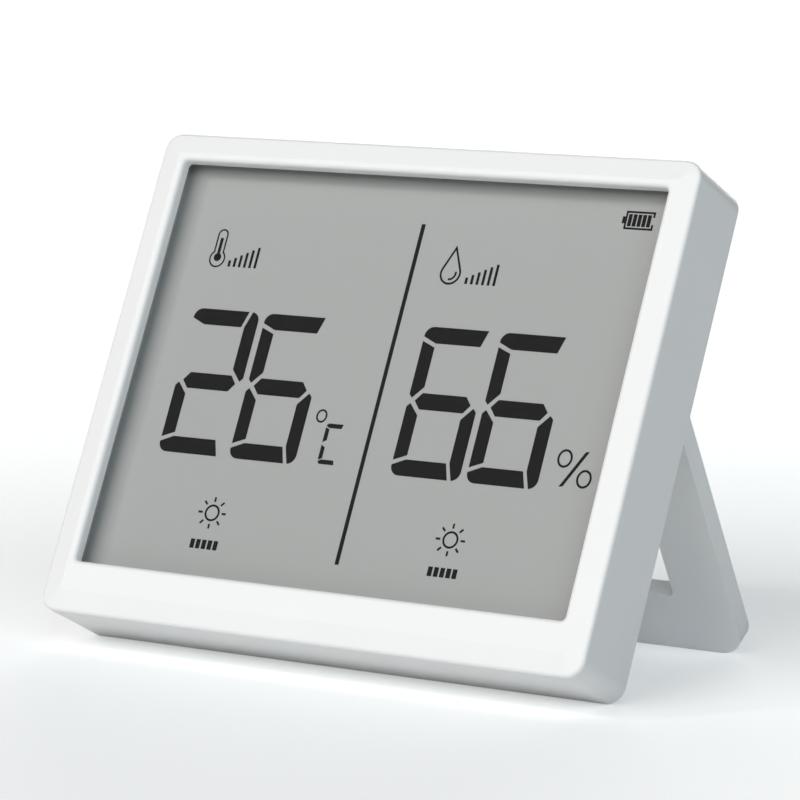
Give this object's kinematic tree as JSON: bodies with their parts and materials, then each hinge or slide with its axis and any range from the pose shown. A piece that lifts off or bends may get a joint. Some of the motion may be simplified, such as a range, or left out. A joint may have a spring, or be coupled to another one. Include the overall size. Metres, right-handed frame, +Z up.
{
  "type": "temperature humidity sensor",
  "caption": "Desktop temperature and humidity sensor: leaned white case with a large segment display, rear battery housing and a fold-out U-shaped stand.",
  "frame": {"origin": "on the standing surface, below the middle of the part's extent in X and Y, stand open", "axes": "+X along the case's width, to the right seen from the front; +Y from the front to the back; +Z up"},
  "size_m": [0.118, 0.068, 0.0944],
  "materials": {
    "white_abs": "fine-textured satin white",
    "display_glass": "matt grey-green display front",
    "black_foam": "matt foam",
    "zebra_rubber": "pink silicone",
    "grey_abs": "plain moulded",
    "board": "green solder mask",
    "chip_black": "moulded epoxy",
    "chip_ivory": "moulded",
    "chip_tan": "fired block",
    "steel": "nickel-plated",
    "cell_jacket": "plain printed jacket"
  },
  "bodies": {
    "case": {"front_case": "white_abs", "lcd_gasket": "black_foam", "lcd_panel": "display_glass", "zebra_strip": "zebra_rubber", "lcd_frame": "grey_abs", "main_pcb": "board", "driver_chip": "chip_black", "climate_sensor": "chip_ivory", "crystal": "steel", "capacitors": "chip_tan", "resistors": "chip_black", "tact_switch": "chip_black", "pcb_screws": "steel", "back_cover": "white_abs", "case_screws": "steel", "battery_upper": "cell_jacket", "battery_lower": "cell_jacket", "contact_bridge": "steel", "contact_positive": "steel", "contact_negative": "steel", "hinge_pins": "steel"},
    "stand": {"stand": "white_abs"},
    "battery_door": {"battery_door": "white_abs"},
    "unit_button": {"unit_button": "white_abs", "switch_plunger": "chip_black"}
  },
  "joints": [
    {"name": "stand_hinge", "type": "hinge", "parent": "case", "child": "stand", "pos_m": [0, 0.0067, 0.04527], "axis": [1, 0, 0], "range_deg": [-56.71, 0]},
    {"name": "door_lift", "type": "slide", "parent": "case", "child": "battery_door", "axis": [0, 0.8926, -0.4509], "range_m": [0, 0.015]},
    {"name": "button_push", "type": "slide", "parent": "case", "child": "unit_button", "axis": [0, -0.8926, 0.4509], "range_m": [0, 0.0004], "stiffness_N_per_m": 1500, "springref_m": -0.0003}
  ]
}
